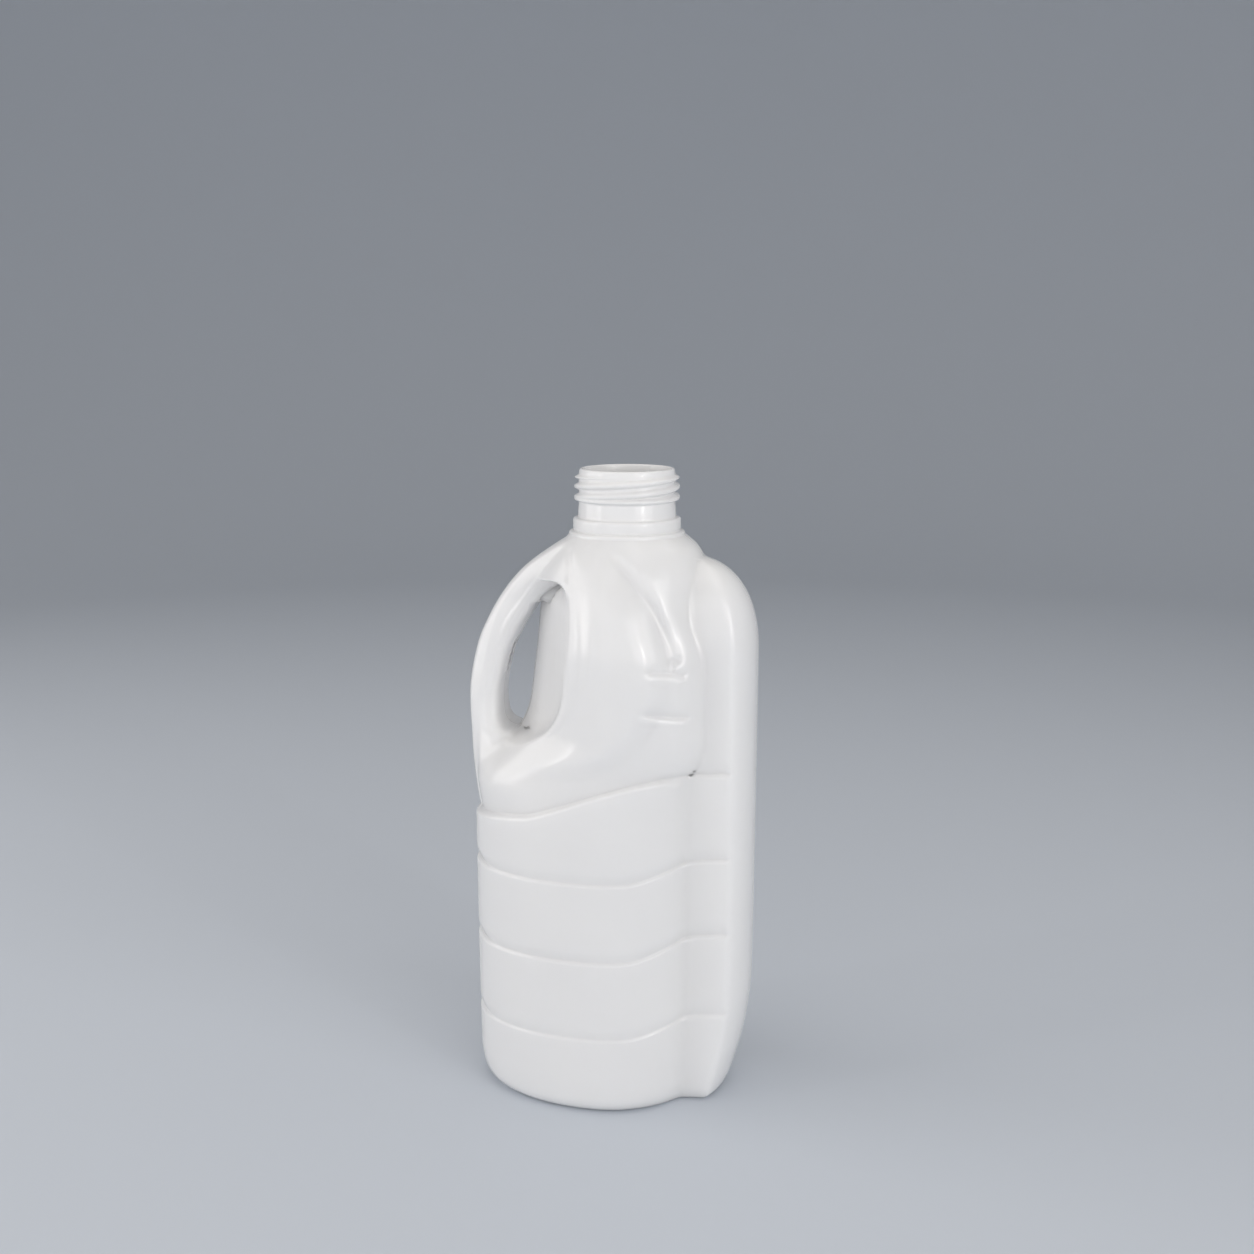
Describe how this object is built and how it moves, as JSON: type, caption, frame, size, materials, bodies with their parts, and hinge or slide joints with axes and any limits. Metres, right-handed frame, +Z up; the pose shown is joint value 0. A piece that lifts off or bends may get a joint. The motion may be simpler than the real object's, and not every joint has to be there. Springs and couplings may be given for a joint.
{
  "type": "empty plastic jug with moulded handle",
  "caption": "Empty blow-moulded household jug: hollow milky plastic body with a finger-hole handle, wrap-round grooves, a pressed-in grip and an open threaded neck.",
  "frame": {"origin": "bottom centre of the jug's bounding box, on the surface that it stands on", "axes": "+Z up through the neck, handle towards -X, plain end towards +X, mould parting plane at Y = 0"},
  "size_m": [0.1328, 0.0928, 0.285],
  "materials": {
    "milky_plastic": "milky translucent, satin gloss with fine mould texture"
  },
  "bodies": {
    "root": {"jug": "milky_plastic"}
  },
  "joints": []
}
